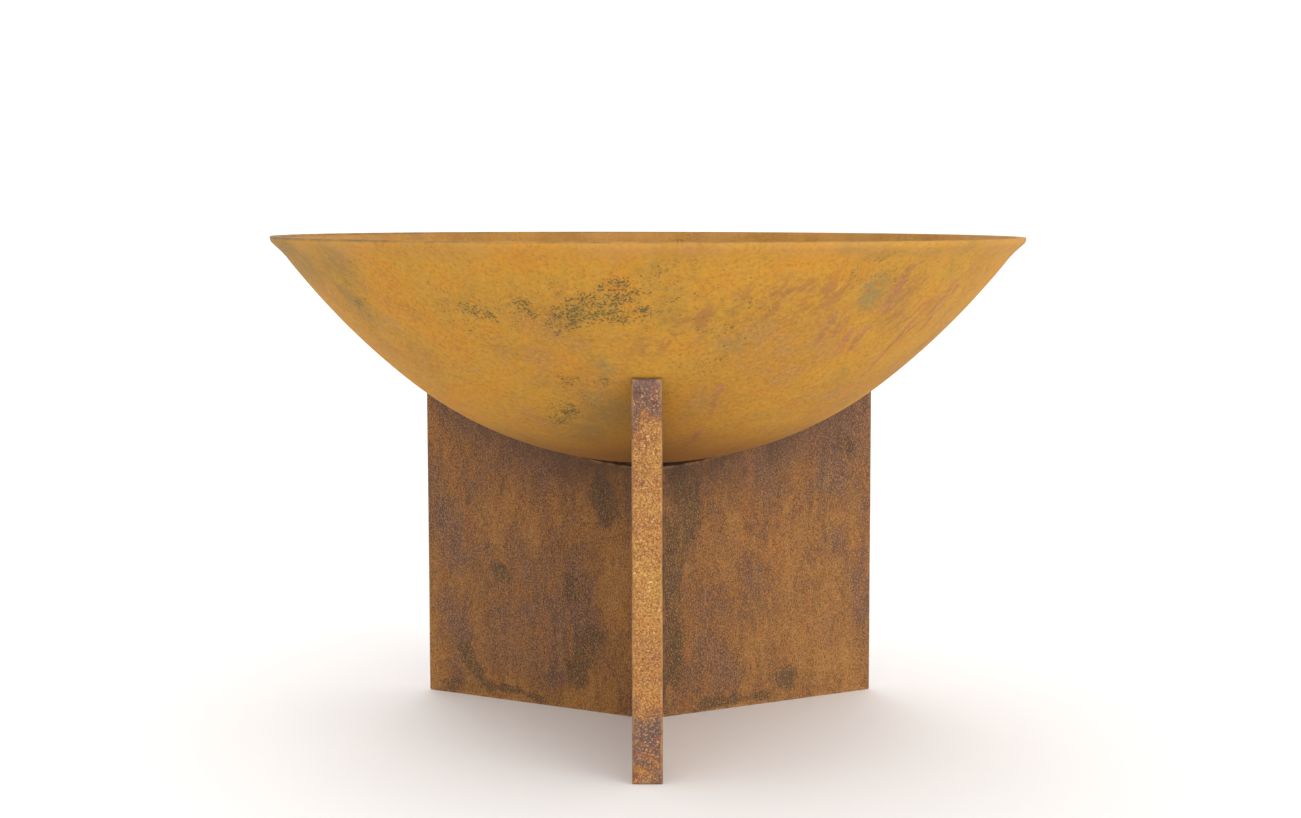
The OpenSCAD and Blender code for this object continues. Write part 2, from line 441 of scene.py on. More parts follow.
def bowl_rust():
    """Matte yellow-ochre rust on cast iron, with dark flecks in clusters and drip marks."""
    g = Graph("bowl_rust", 0.85)
    wandering = g.moved(0.03, 14.0)
    height = g.height_of()
    colour = g.ramp(g.noise(7.5, 6.0, 0.66, 0.3), (0.36, srgb(190, 138, 70)), (0.44, srgb(198, 140, 50)),
                    (0.53, srgb(205, 150, 52)), (0.60, srgb(211, 146, 44)), (0.68, srgb(203, 138, 48)))
    mauve = g.between(g.noise(19.0, 7.0, 0.72, 0.6, wandering), 0.53, 0.70, 0.0, 0.55)
    colour = g.mix(mauve, colour, srgb(184, 132, 84))
    warm = g.between(g.noise(31.0, 7.0, 0.72, 0.3), 0.53, 0.70, 0.0, 0.6)
    colour = g.mix(warm, colour, srgb(216, 140, 38))
    greened = g.between(g.noise(23.0, 7.0, 0.72, 0.4), 0.53, 0.68, 0.0, 0.6)
    colour = g.mix(greened, colour, srgb(174, 138, 58))
    cloud = g.noise(240.0, 4.0, 0.7)
    colour = g.mix(g.between(cloud, 0.50, 0.66, 0.0, 0.42), colour, srgb(150, 106, 46))
    colour = g.mix(g.between(cloud, 0.50, 0.34, 0.0, 0.32), colour, srgb(228, 170, 78))

    # The inside has a dusting of its own in place of the outside's marks.
    dusted = g.between(g.noise(14.0, 8.0, 0.74, 0.4, g.moved(0.05, 8.0)), 0.50, 0.66, 0.0, 0.55)
    inner = g.mix(dusted, colour, srgb(164, 126, 70))
    soot = g.sums("ADD", g.noise(330.0, 3.0, 0.65), g.between(g.noise(16.0, 4.0, 0.6), 0.3, 0.7, -0.16, 0.02))
    inner = g.mix(g.between(soot, 0.52, 0.62, 0.0, 0.75), inner, srgb(104, 88, 54))
    inner = g.mix(g.between(g.noise(24.0, 5.0, 0.7), 0.36, 0.62, 0.25, 0.60), inner, srgb(146, 100, 50))

    # Drip marks run down the meridians from the rim: degrees round, radius where each starts and ends, reach.
    drips = [
        (15, 0.272, 0.165, 0.008), (31, 0.340, 0.318, 0.007), (34, 0.338, 0.326, 0.009), (37, 0.328, 0.305, 0.008),
        (40, 0.328, 0.308, 0.010), (41, 0.378, 0.345, 0.009), (51.5, 0.350, 0.276, 0.007), (55, 0.366, 0.340, 0.009),
        (57.5, 0.362, 0.324, 0.008), (63, 0.340, 0.322, 0.007), (69, 0.326, 0.300, 0.007),
        (128, 0.372, 0.300, 0.010), (171, 0.350, 0.262, 0.009), (205, 0.380, 0.330, 0.011),
        (262, 0.352, 0.290, 0.009),
    ]
    drip_place = g.moved(0.014, 30.0)
    dripped = g.marks(drip_place, [(on_bowl(d, a), on_bowl(d, b), reach) for d, a, b, reach in drips])
    broken = g.between(g.noise(110.0, 5.0, 0.72), 0.36, 0.60, 0.15, 0.85)
    drip = g.mix(g.between(g.noise(60.0, 4.0, 0.7), 0.42, 0.60), srgb(186, 120, 84), srgb(164, 112, 60))
    colour = g.mix(g.sums("MULTIPLY", g.between(dripped, 0.0, 0.85), broken), colour, drip)
    brushed = g.between(g.noise(75.0, 6.0, 0.72, 0.3, g.slanted(52, 0.35)), 0.46, 0.60, 0.0, 0.8)
    colour = g.mix(g.sums("MULTIPLY", g.mask("smudged"), brushed), colour, srgb(172, 116, 62))

    # Dark flecks are thick in some clusters, thin round them and absent elsewhere.
    thick = [
        ((-14, 0.336), (-3, 0.366), 0.028), ((-9, 0.342), (-2, 0.348), 0.024), ((-19, 0.354), (-18, 0.346), 0.013),
        ((-30, 0.350), (-26, 0.346), 0.014), ((-25, 0.218), (-18, 0.238), 0.020), ((-17, 0.273), (-15, 0.275), 0.016),
        ((-9, 0.276), (-8, 0.276), 0.012), ((-55, 0.345), (-53, 0.350), 0.010),
        ((37, 0.389), (33, 0.385), 0.014),
        ((98, 0.340), (106, 0.356), 0.034), ((150, 0.310), (155, 0.335), 0.030),
        ((198, 0.352), (203, 0.330), 0.036), ((242, 0.350), (246, 0.376), 0.030),
    ]
    crowd = g.marks(wandering, [(on_bowl(*a), on_bowl(*b), reach) for a, b, reach in thick])
    few = g.mask("sparse")
    fleck = g.noise(500.0, 2.0, 0.55, 0.5, g.slanted(40, 0.75))
    clumps = g.noise(120.0, 5.0, 0.70, 0.3, g.slanted(40, 0.45))
    limit = g.sums("SUBTRACT", g.between(crowd, 0.0, 0.8, 0.73, 0.60), g.between(few, 0.0, 0.9, 0.0, 0.112))
    over = g.sums("ADD", g.sums("SUBTRACT", fleck, limit), g.between(clumps, 0.36, 0.64, -0.07, 0.06))
    haze = g.sums("MULTIPLY", g.sums("MAXIMUM", crowd, g.sums("MULTIPLY", few, 0.35)),
                  g.between(clumps, 0.40, 0.60, 0.05, 0.60))
    colour = g.mix(haze, colour, srgb(156, 124, 62))
    colour = g.mix(g.between(over, 0.0, 0.07, 0.0, 0.78), colour, srgb(90, 82, 50))

    bloomed = g.between(g.noise(130.0, 5.0, 0.7), 0.38, 0.6, 0.1, 0.75)
    colour = g.mix(g.sums("MULTIPLY", g.mask("bloomed"), bloomed), colour, srgb(138, 128, 84))

    grimy = g.sums("MULTIPLY", g.mask("grimy"), g.between(g.noise(260.0, 5.0, 0.75), 0.38, 0.62, 0.05, 0.95))
    colour = g.mix(grimy, colour, srgb(112, 102, 68))
    # Olive haze; on the left rim, beside the front blade and along the lip at the right it is painted shade as well.
    olive_haze_and_shade = g.sums("MULTIPLY", g.mask("olive_haze_and_shade"), g.between(g.noise(48.0, 7.0, 0.76), 0.36, 0.60, 0.3, 0.80))
    colour = g.mix(olive_haze_and_shade, colour, srgb(152, 122, 68))

    colour = g.mix(g.mask("inside"), colour, inner)

    # The lip is a little paler, the rim's top is painted greyer as shade and the bottom is painted browner and darker
    # as shade.
    lip = g.between(height, RIM_Z - 24 * MM, RIM_Z - 6 * MM)
    colour = g.mix(g.sums("MULTIPLY", lip, g.between(g.noise(18.0, 4.0), 0.35, 0.65, 0.1, 0.5)), colour,
                   srgb(208, 154, 84))
    # Painted shade: darker and browner towards the bottom.
    painted_bottom_shade = g.between(height, 0.345, 0.295)
    colour = g.mix(g.sums("MULTIPLY", painted_bottom_shade, 0.75), colour, srgb(150, 98, 44))
    # Painted shade: the rim's top is greyed and darkened.
    painted_rim_shade = g.between(height, RIM_Z - 3.8 * MM, RIM_Z - 1.4 * MM)
    edge_tint = g.between(g.noise(45.0, 4.0, 0.6), 0.35, 0.65, 0.25, 0.85)
    colour = g.mix(g.sums("MULTIPLY", painted_rim_shade, edge_tint), colour, srgb(134, 110, 72))

    roughness = g.between(g.noise(70.0, 3.0), 0.3, 0.7, 0.80, 0.94)
    pores = g.bump(g.noise(520.0, 4.0, 0.65), 0.5 * MM, 0.3)
    swell = g.bump(g.noise(60.0, 3.0, 0.5), 1.2 * MM, 0.25, pores)
    return g.finish(colour, roughness, swell)


# Marks on the sides of the back blades that the front view shows: the blade, where each starts and ends as a
# distance from the axis and a height, and its reach.
MARKED_PLACES = {
    "golden": [
        ("back_right", (0.10, 0.20), (0.20, 0.14), 0.15), ("back_right", (0.12, 0.05), (0.26, 0.05), 0.12),
        ("back_left", (0.235, 0.085), (0.225, 0.13), 0.045), ("back_left", (0.075, 0.25), (0.09, 0.19), 0.035),
        ("back_left", (0.262, 0.020), (0.268, 0.04), 0.04), ("back_left", (0.13, 0.20), (0.12, 0.26), 0.06),
        ("back_left", (0.025, 0.20), (0.035, 0.03), 0.05), ("back_left", (0.27, 0.004), (0.06, 0.004), 0.034),
        ("back_right", (0.05, 0.004), (0.27, 0.004), 0.030),
    ],
    "violet": [
        ("back_left", (0.09, 0.100), (0.16, 0.096), 0.045), ("back_left", (0.255, 0.20), (0.245, 0.155), 0.032),
        ("back_left", (0.262, 0.105), (0.240, 0.075), 0.024), ("back_left", (0.19, 0.062), (0.12, 0.050), 0.046),
        ("back_left", (0.20, 0.31), (0.12, 0.27), 0.040), ("back_right", (0.268, 0.16), (0.268, 0.09), 0.018),
        ("back_right", (0.236, 0.185), (0.233, 0.17), 0.024), ("back_right", (0.228, 0.26), (0.232, 0.245), 0.026),
        ("back_right", (0.226, 0.085), (0.228, 0.06), 0.014), ("back_right", (0.08, 0.055), (0.10, 0.04), 0.030),
        ("back_right", (0.27, 0.36), (0.24, 0.31), 0.060), ("back_right", (0.12, 0.28), (0.18, 0.29), 0.040),
        ("back_left", (0.15, 0.15), (0.17, 0.19), 0.030), ("back_left", (0.27, 0.35), (0.23, 0.32), 0.040),
    ],
    # Dark olive stains; the band on the right plate beside the front blade is painted shade as well.
    "olive_and_shade": [
        ("back_left", (0.055, 0.245), (0.045, 0.215), 0.034), ("back_left", (0.183, 0.15), (0.180, 0.145), 0.018),
        ("back_left", (0.092, 0.145), (0.09, 0.13), 0.020), ("back_left", (0.066, 0.078), (0.084, 0.040), 0.028),
        ("back_left", (0.240, 0.055), (0.200, 0.010), 0.019), ("back_right", (0.03, 0.26), (0.045, 0.215), 0.040),
        ("back_right", (0.015, 0.20), (0.015, 0.05), 0.045), ("back_right", (0.173, 0.022), (0.18, 0.03), 0.022),
        ("back_left", (0.262, 0.012), (0.10, 0.006), 0.009), ("back_right", (0.06, 0.008), (0.15, 0.010), 0.014),
        ("back_right", (0.245, 0.285), (0.25, 0.28), 0.020),
    ],
}
PLATE_MARKS = {
    mask: [(on_plate(name, *a), on_plate(name, *b), reach) for name, a, b, reach in places]
    for mask, places in MARKED_PLACES.items()
}


def sheet_rust():
    """Dark brown rust with a fine grain on the side plates, lighter and pitted on the narrow outer faces."""
    g = Graph("sheet_rust", 0.85)
    streaked = g.upright(0.20)
    patchy = g.upright(0.55)
    height = g.height_of()

    lean = g.sums("SUBTRACT", g.sums("MULTIPLY", g.mask("golden"), 0.095), g.sums("MULTIPLY", g.mask("violet"), 0.085))
    mottle = g.sums("ADD", g.noise(11.0, 8.0, 0.74, 0.3, patchy), lean)
    side = g.ramp(mottle, (0.36, srgb(108, 80, 66)), (0.44, srgb(127, 91, 67)), (0.51, srgb(141, 97, 58)),
                  (0.58, srgb(161, 111, 59)), (0.68, srgb(176, 126, 68)))
    side = g.mix(g.sums("MULTIPLY", g.mask("violet"), 0.40), side, srgb(132, 98, 80))
    orange = g.between(g.noise(52.0, 7.0, 0.75, 0.2, streaked), 0.52, 0.68, 0.0, 0.55)
    side = g.mix(orange, side, srgb(174, 106, 52))
    yellowed = g.between(g.noise(64.0, 7.0, 0.75, 0.2, streaked), 0.54, 0.68, 0.0, 0.45)
    side = g.mix(yellowed, side, srgb(158, 124, 62))
    # Dark patches, deepened by the olive stains and by the painted shade beside the front blade.
    dark = g.sums("ADD", g.noise(26.0, 9.0, 0.78, 0.3, patchy), g.sums("MULTIPLY", g.mask("olive_and_shade"), 0.31))
    side = g.mix(g.between(dark, 0.59, 0.74, 0.0, 0.80), side, srgb(90, 74, 52))
    grain = g.noise(820.0, 2.0, 0.6, 0.0, g.upright(0.7))
    coarse = g.noise(120.0, 7.0, 0.78, 0.0, g.upright(0.3))
    side = g.mix(g.between(grain, 0.48, 0.68, 0.0, 0.80), side, srgb(78, 56, 42))
    side = g.mix(g.between(grain, 0.50, 0.32, 0.0, 0.70), side, srgb(204, 144, 86))
    side = g.mix(g.between(coarse, 0.52, 0.66, 0.0, 0.38), side, srgb(86, 64, 48))
    side = g.mix(g.between(coarse, 0.48, 0.34, 0.0, 0.32), side, srgb(180, 122, 62))

    # The outer faces are stained at the foot and the tip.
    foot = g.sums("MULTIPLY", g.between(height, 0.030, 0.100, 0.85, 0.0), g.between(height, -0.02, 0.03, 0.75, 1.0))
    stain = g.sums("MAXIMUM", foot, g.between(height, 0.325, 0.385, 0.0, 1.0))
    yellow = g.sums("MULTIPLY", g.between(height, 0.12, 0.19), g.between(height, 0.27, 0.20))
    lean = g.sums("SUBTRACT", g.sums("MULTIPLY", yellow, 0.05), g.sums("MULTIPLY", stain, 0.17))
    calmed = g.sums("MULTIPLY", g.sums("SUBTRACT", g.noise(38.0, 8.0, 0.78, 0.4), 0.5),
                    g.between(stain, 0.0, 0.5, 0.55, 1.0))
    mottle = g.sums("ADD", g.sums("ADD", calmed, 0.5), lean)
    outer = g.ramp(mottle, (0.30, srgb(108, 84, 84)), (0.38, srgb(132, 98, 84)), (0.43, srgb(160, 106, 64)),
                   (0.50, srgb(184, 127, 68)), (0.60, srgb(193, 141, 68)))
    outer = g.mix(g.between(g.noise(85.0, 6.0, 0.72), 0.52, 0.66, 0.0, 0.5), outer, srgb(196, 112, 54))
    speckle = g.noise(560.0, 4.0, 0.7)
    outer = g.mix(g.between(speckle, 0.50, 0.62, 0.0, 0.84), outer, srgb(122, 80, 48))
    outer = g.mix(g.between(speckle, 0.48, 0.36, 0.0, 0.76), outer, srgb(226, 178, 112))
    outer = g.mix(g.between(height, 0.374, 0.389, 0.0, 0.55), outer, srgb(112, 92, 92))
    reddish = g.sums("MULTIPLY", stain, g.between(g.noise(120.0, 5.0, 0.7), 0.55, 0.66, 0.0, 0.7))
    outer = g.mix(reddish, outer, srgb(100, 62, 56))
    pitted = g.sums("MULTIPLY", g.between(height, 0.10, 0.19), g.between(height, 0.385, 0.33))
    limit = g.between(pitted, 0.0, 1.0, 0.77, 0.68)
    pits = g.sums("SUBTRACT", g.noise(250.0, 2.0, 0.5), limit)
    outer = g.mix(g.between(pits, 0.0, 0.05, 0.0, 0.75), outer, srgb(232, 204, 152))

    colour = g.mix(g.mask("outer_face"), side, outer)
    # Painted shade: the sides darken just below the bowl.
    under_shade = g.sums("MULTIPLY", g.mask("painted_shade_under_bowl"), g.between(g.noise(26.0, 5.0, 0.6), 0.3, 0.6, 0.3, 0.8))
    colour = g.mix(under_shade, colour, srgb(92, 70, 56))
    # Painted highlight, with some wear: the folds and cut edges are lightened.
    edge_tint = g.sums("MULTIPLY", g.mask("edge_wear_and_highlight"), g.between(g.noise(90.0, 4.0, 0.6), 0.42, 0.62, 0.0, 0.55))
    colour = g.mix(edge_tint, colour, srgb(206, 164, 112))

    roughness = g.between(g.noise(90.0, 3.0), 0.3, 0.7, 0.76, 0.93)
    fine = g.bump(g.noise(480.0, 4.0, 0.7), 0.7 * MM, 0.5)
    scale = g.bump(g.noise(110.0, 4.0, 0.6, 0.3), 0.9 * MM, 0.35, fine)
    return g.finish(colour, roughness, scale)


def grate_rust():
    """Heat-darkened steel with scale and brown rust."""
    g = Graph("grate_rust", 0.8)
    colour = g.mix(g.between(g.noise(30.0, 5.0, 0.65, 0.4), 0.38, 0.62), srgb(82, 60, 48), srgb(122, 80, 50))
    colour = g.mix(g.between(g.noise(75.0, 5.0, 0.65), 0.5, 0.68, 0.0, 0.8), colour, srgb(58, 50, 48))
    colour = g.mix(g.between(g.noise(160.0, 4.0, 0.7), 0.56, 0.7, 0.0, 0.75), colour, srgb(168, 102, 52))
    colour = g.mix(g.between(g.noise(420.0, 3.0, 0.7), 0.35, 0.65, 0.0, 0.3), colour, srgb(50, 38, 32))
    roughness = g.between(g.noise(120.0, 3.0), 0.3, 0.7, 0.62, 0.88)
    scale = g.bump(g.noise(200.0, 5.0, 0.7, 0.3), 1.0 * MM, 0.6)
    return g.finish(colour, roughness, scale)


def weld_rust():
    """Darker, smoother rust on the weld beads."""
    g = Graph("weld_rust", 0.7)
    colour = g.mix(g.between(g.noise(90.0, 4.0, 0.6), 0.38, 0.62), srgb(104, 74, 56), srgb(150, 100, 60))
    colour = g.mix(g.between(g.noise(300.0, 4.0, 0.7), 0.5, 0.7, 0.0, 0.6), colour, srgb(70, 54, 46))
    roughness = g.between(g.noise(150.0, 3.0), 0.3, 0.7, 0.55, 0.8)
    return g.finish(colour, roughness, g.bump(g.noise(420.0, 4.0, 0.65), 0.5 * MM, 0.5))


BOWL_RUST = bowl_rust()
SHEET_RUST = sheet_rust()
GRATE_RUST = grate_rust()
WELD_RUST = weld_rust()


# ---------------------------------------------------------------------------
# Bowl
# ---------------------------------------------------------------------------


def bowl_profile():
    """The bowl's section from the axis: its outside, its lip, then its inside back to the axis."""
    lip_r = bowl_high.x - LIP_W
    lip_start = Vector((lip_r, wall_z(lip_r, 0)))
    lip_angle = math.asin((lip_r - FLARE_CX) / FLARE_R)
    to_centre = LIP_C - lip_start
    turn = math.atan2(to_centre.y, to_centre.x) - math.asin(LIP_R / to_centre.length)
    flank = Vector((math.cos(turn), math.sin(turn)))
    top_angle = math.pi / 2 + math.asin(RIM_RISE / LIP_R)
    lip_out = (LIP_C.x + LIP_R * math.sin(top_angle), RIM_Z)
    inner_r = FLARE_R - BOWL_WALL
    lip_in = (FLARE_CX + math.sqrt(inner_r ** 2 - (FLARE_CZ - RIM_Z) ** 2), RIM_Z)
    inner_top = math.asin((lip_in[0] - FLARE_CX) / inner_r)
    cove, lip_cut, inner_cut = 5.0 * MM, 0.9 * MM, 1.4 * MM

    belly = arc(0, BELLY_CZ, BELLY_R, 0, BELLY_ANGLE, 70)
    flare = arc(FLARE_CX, FLARE_CZ, FLARE_R, BELLY_ANGLE, lip_angle - cove / FLARE_R, 48)
    edge = arc(LIP_C.x, LIP_C.y, LIP_R, turn, top_angle - lip_cut / LIP_R, 12)
    flat = [(lip_out[0] - lip_cut, RIM_Z), (lip_in[0] + inner_cut, RIM_Z)]
    inner_flare = arc(FLARE_CX, FLARE_CZ, inner_r, inner_top - inner_cut / inner_r, BELLY_ANGLE, 30)
    inner_belly = arc(0, BELLY_CZ, BELLY_R - BOWL_WALL, BELLY_ANGLE, 0, 44)

    outer = belly + flare[1:]
    flank_start = tuple(lip_start + cove * flank)
    lip = bend(flare[-1], lip_start, flank_start, 6) + [flank_start]
    lip += [tuple((Vector(flank_start) + Vector(edge[0])) / 2)] + edge
    lip += bend(edge[-1], lip_out, flat[0], 5) + flat + bend(flat[1], lip_in, inner_flare[0], 5)
    return outer, lip, inner_flare + inner_belly[1:]


def bowl():
    """The cast bowl, turned round the axis, with the slight unevenness of a casting."""
    outer, lip, inner = bowl_profile()
    profile = outer + lip + inner
    segments = 320
    points = [Vector((0, 0, outer[0][1])), Vector((0, 0, inner[-1][1]))]
    masks = {name: [0.0, 0.0] for name in BOWL_MARKS}
    inside = [0.0, 1.0]
    ring = profile[1:-1]
    for j in range(segments):
        a = 2 * math.pi * j / segments
        for i, (r, z) in enumerate(ring):
            before, after = profile[i], profile[i + 2]
            normal = Vector((after[1] - before[1], before[0] - after[0])).normalized()
            here = Vector((r * math.cos(a), r * math.sin(a), z))
            uneven = 0.5 * MM * rough(here, 9) + 0.2 * MM * rough(here, 45, 5.0)
            fade = min(1.0, (RIM_Z - z) / (12 * MM))
            inset = uneven * fade * (1 if i < len(outer) else 0.5)
            rise = min(1.0, max(0.0, (z - SAG_FROM_Z) / (RIM_Z - SAG_FROM_Z)))
            sag = RIM_SAG * rise * rise * (0.5 + 0.5 * math.cos(a))
            r_moved, z_moved = r - normal.x * inset, z - normal.y * inset - sag
            points.append(Vector((r_moved * math.cos(a), r_moved * math.sin(a), z_moved)))
            inside.append(1.0 if i + 1 >= len(outer) + len(lip) else 0.0)
            for name, marks in BOWL_MARKS.items():
                masks[name].append(0.0 if inside[-1] else strongest(points[-1], marks))
    n = len(ring)
    faces = [tuple(2 + k for k in f) for f in grid_faces(segments, n, wrap_rows=True)]
    for j in range(segments):
        here, there = 2 + j * n, 2 + (j + 1) % segments * n
        faces.append((0, there, here))
        faces.append((1, here + n - 1, there + n - 1))
    piece("bowl_casting", points, faces, BOWL_RUST, "bowl", ["bowl"],
          {"inside": inside, **masks}, 60)


# ---------------------------------------------------------------------------
# Base
# ---------------------------------------------------------------------------


def plan_stations():
    """Stations round a blade's outside as seen from above: s, w, outward direction, outer face mask, and a fold mask
    for the painted highlight and wear along the folds.
    """
    half = BLADE_T / 2
    turn_s, turn_w = BLADE_LEN - FOLD_R, half - FOLD_R
    plain = spread(HUB_REACH, TIP_START - 5 * MM, 66) + spread(TIP_START - 5 * MM, turn_s, 12)[1:]
    first = [(s, -half, 0.0, -1.0, 0.0, 0.0) for s in plain]
    fold = []
    for a in spread(0, math.pi / 2, 8)[1:-1]:
        across, along = math.cos(a), math.sin(a)
        fold.append((turn_s + FOLD_R * along, -turn_w - FOLD_R * across, along, -across, along ** 2, math.sin(2 * a)))
    face = [(BLADE_LEN, w, 1.0, 0.0, 1.0, 0.0) for w in spread(-turn_w, turn_w, 10)]
    half_way = first + fold
    mirrored = [(s, -w, ns, -nw, outer, fold_wear_and_highlight) for s, w, ns, nw, outer, fold_wear_and_highlight in reversed(half_way)]
    return half_way + face + mirrored


def sheet_section(top_rows=92, inner_rows=14):
    """The way round the sheet's section: depth, share of the height and drop at a cut edge."""
    edge = 0.6 * MM
    section = [(0.0, v, 0.0) for v in spread(0, 1, top_rows)]
    corner = spread(0, math.pi / 2, 4)[1:]
    section += [(edge * (1 - math.cos(a)), 1.0, edge * math.sin(a)) for a in corner]
    section += [(SHEET - edge * (1 - math.cos(a)), 1.0, edge * math.sin(a)) for a in reversed(corner)]
    section += [(SHEET, v, 0.0) for v in spread(1, 0, inner_rows)]
    section += [(SHEET - edge * (1 - math.cos(a)), 0.0, -edge * math.sin(a)) for a in corner]
    section += [(edge * (1 - math.cos(a)), 0.0, -edge * math.sin(a)) for a in reversed(corner)]
    return section, edge


def blade(name, azimuth):
    """A blade's folded sheet, swept round its plan, with slightly wavy plates and softened cut edges."""
    stations = plan_stations()
    section, edge = sheet_section()
    points, outer_face, edge_wear_and_highlight, painted_shade_under_bowl = [], [], [], []
    for s, w, ns, nw, outer, fold_wear_and_highlight in stations:
        for depth, share, drop in section:
            s_in, w_in = s - ns * depth, w - nw * depth
            low, high = foot_z(s_in) + edge, saddle_z(s_in) - edge
            z = low + (high - low) * share + drop
            wave = 0.45 * MM * rough((s_in, w_in, z), 11, azimuth) * (1 - depth / SHEET)
            points.append((s_in - ns * wave, w_in - nw * wave, z))
            outer_face.append(outer)
            from_edge = min(z - foot_z(s_in), saddle_z(s_in) - z)
            # Painted highlight and wear on the folds and near the top and bottom edges.
            edge_wear_and_highlight.append(max(0.8 * fold_wear_and_highlight, 1 - from_edge / (2 * MM), 0.0))
            # Painted shade: the sides darken towards the bowl above them.
            painted_shade_under_bowl.append(max(0.0, 1 - (saddle_z(s_in) - z) / SHADED) ** 1.5 * (1 - outer))
    columns = len(section)
    faces = grid_faces(len(stations), columns, wrap_columns=True)
    faces.append(tuple(range(columns)))
    faces.append(tuple(range((len(stations) - 1) * columns, len(stations) * columns))[::-1])
    points = turned(points, azimuth)
    masks = {"outer_face": outer_face, "edge_wear_and_highlight": edge_wear_and_highlight, "painted_shade_under_bowl": painted_shade_under_bowl}
    for mask, marks in PLATE_MARKS.items():
        masks[mask] = [strongest(p, marks) if section[i % columns][0] == 0 else 0.0 for i, p in enumerate(points)]
    piece(f"blade_sheet_{name}", points, faces, SHEET_RUST, "base",
          [f"blade_shell_{name}"], masks)


def base_welds():
    """Weld beads where the blades meet, and stitches along the saddle strips."""
    parts = []
    corner_r = 2 * HUB_REACH + 0.4 * MM
    for k in range(3):
        a = math.radians(90 + 120 * k)
        heights = spread(5 * MM, SADDLE_LOW - 5 * MM, 150)
        line = [(corner_r * math.cos(a), corner_r * math.sin(a), z) for z in heights]
        parts.append(weld(line, 2.3 * MM, 3.0 * k))
    seam = BLADE_T / 2 - SHEET
    for azimuth in BLADES.values():
        for side in (-1, 1):
            for start in (0.030, 0.095, 0.160, 0.222):
                line = [(s, side * seam, saddle_z(s) - 0.6 * MM) for s in spread(start, start + 0.028, 18)]
                parts.append(weld(turned(line, azimuth), 1.7 * MM, azimuth + start))
    points, faces = merged(parts)
    piece("base_welds", points, faces, WELD_RUST, "base", sharp_degrees=60)


# ---------------------------------------------------------------------------
# Grate
# ---------------------------------------------------------------------------


def rounded_square(half, corner, steps=3):
    """A square's outline with rounded corners, and points along its sides."""
    outline = []
    inner = half - corner
    for k, (a, b) in enumerate(((1, 1), (-1, 1), (-1, -1), (1, -1))):
        start = k * math.pi / 2
        for t in spread(start, start + math.pi / 2, steps):
            outline.append((a * inner + corner * math.cos(t), b * inner + corner * math.sin(t)))
        middle = ((0, half), (-half, 0), (0, -half), (half, 0))[k]
        outline.append(middle)
    return outline


def square_bar(start, end, seed):
    """A straight rolled bar between two points on its centre line, scaled and pitted by heat."""
    start, end = Vector(start), Vector(end)
    ahead = (end - start).normalized()
    side = Vector((0, 0, 1)).cross(ahead)
    up = Vector((0, 0, 1))
    length = (end - start).length
    outline = rounded_square(BAR / 2, 0.9 * MM)
    stops = [(0.0, 0.80), (0.5 * MM, 0.94), (1.2 * MM, 1.0)]
    stops += [(d, 1.0) for d in spread(4 * MM, length - 4 * MM, max(4, round(length / (6 * MM))))]
    stops += [(length - d, scale) for d, scale in reversed(stops[:3])]
    points = []
    for distance, scale in stops:
        centre = start + ahead * distance
        bow = side * 0.3 * MM * (rough(centre, 12, seed) - 0.5)
        for a, b in outline:
            here = centre + scale * (a * side + b * up)
            eaten = 1 - 0.06 * rough(here, 150, seed) - 0.03 * rough(here, 420, seed)
            points.append(centre + bow + scale * eaten * (a * side + b * up))
    columns = len(outline)
    faces = grid_faces(len(stops), columns, wrap_columns=True)
    faces.append(tuple(range(columns))[::-1])
    faces.append(tuple(range((len(stops) - 1) * columns, len(stops) * columns)))
    return points, faces


def grate_piece(name, points, faces, material=GRATE_RUST, replaced=()):
    piece(name, points, faces, material, "grate", replaced, sharp_degrees=50)


def grate_bars():
    for seed, node in enumerate(BAR_NAMES + CROSS_BARS):
        low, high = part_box(node)
        middle = (low + high) / 2
        long_axis = 1 if high.y - low.y > high.x - low.x else 0
        start, end = middle.copy(), middle.copy()
        start[long_axis], end[long_axis] = low[long_axis], high[long_axis]
        grate_piece(node.replace("grate_", "") + "_steel", *square_bar(start, end, 7.0 * seed), replaced=[node])


def grate_hoop():
    low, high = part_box("grate_ring")
    middle_r, middle_z = high.x - BAR / 2, (low.z + high.z) / 2
    outline = rounded_square(BAR / 2, 0.9 * MM)
    segments = 260
    points = []
    for j in range(segments):
        a = 2 * math.pi * j / segments
        for across, up in outline:
            here = Vector((middle_r * math.cos(a), middle_r * math.sin(a), middle_z + up))
            eaten = 1 - 0.06 * rough(here + Vector((across, 0, 0)), 150) - 0.03 * rough(here, 420)
            r = middle_r + across * eaten
            points.append((r * math.cos(a), r * math.sin(a), middle_z + up * eaten))
    faces = grid_faces(segments, len(outline), wrap_rows=True, wrap_columns=True)
    grate_piece("hoop_steel", points, faces, replaced=["grate_ring"])


def grate_handle(node, seed):
    low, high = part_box(node)
    x, foot, top = (low.x + high.x) / 2, low.z, high.z - ROD_R
    leg_y, turn_z = high.y - ROD_R, top - HANDLE_BEND_R
    turn_y = leg_y - HANDLE_BEND_R
    path = [(x, leg_y, z) for z in spread(foot, turn_z, 12)]
    for a in spread(0, math.pi / 2, 9)[1:]:
        path.append((x, turn_y + HANDLE_BEND_R * math.cos(a), turn_z + HANDLE_BEND_R * math.sin(a)))
    path += [(x, y, top) for y in spread(turn_y, 0, 9)[1:]]
    path += [(px, -py, pz) for px, py, pz in reversed(path[:-1])]
    points, faces = tube(path, lambda i: ROD_R * (0.995 - 0.04 * rough(path[i], 160, seed)), sides=16)
    grate_piece(node.replace("grate_", "") + "_rod", points, faces, replaced=[node])


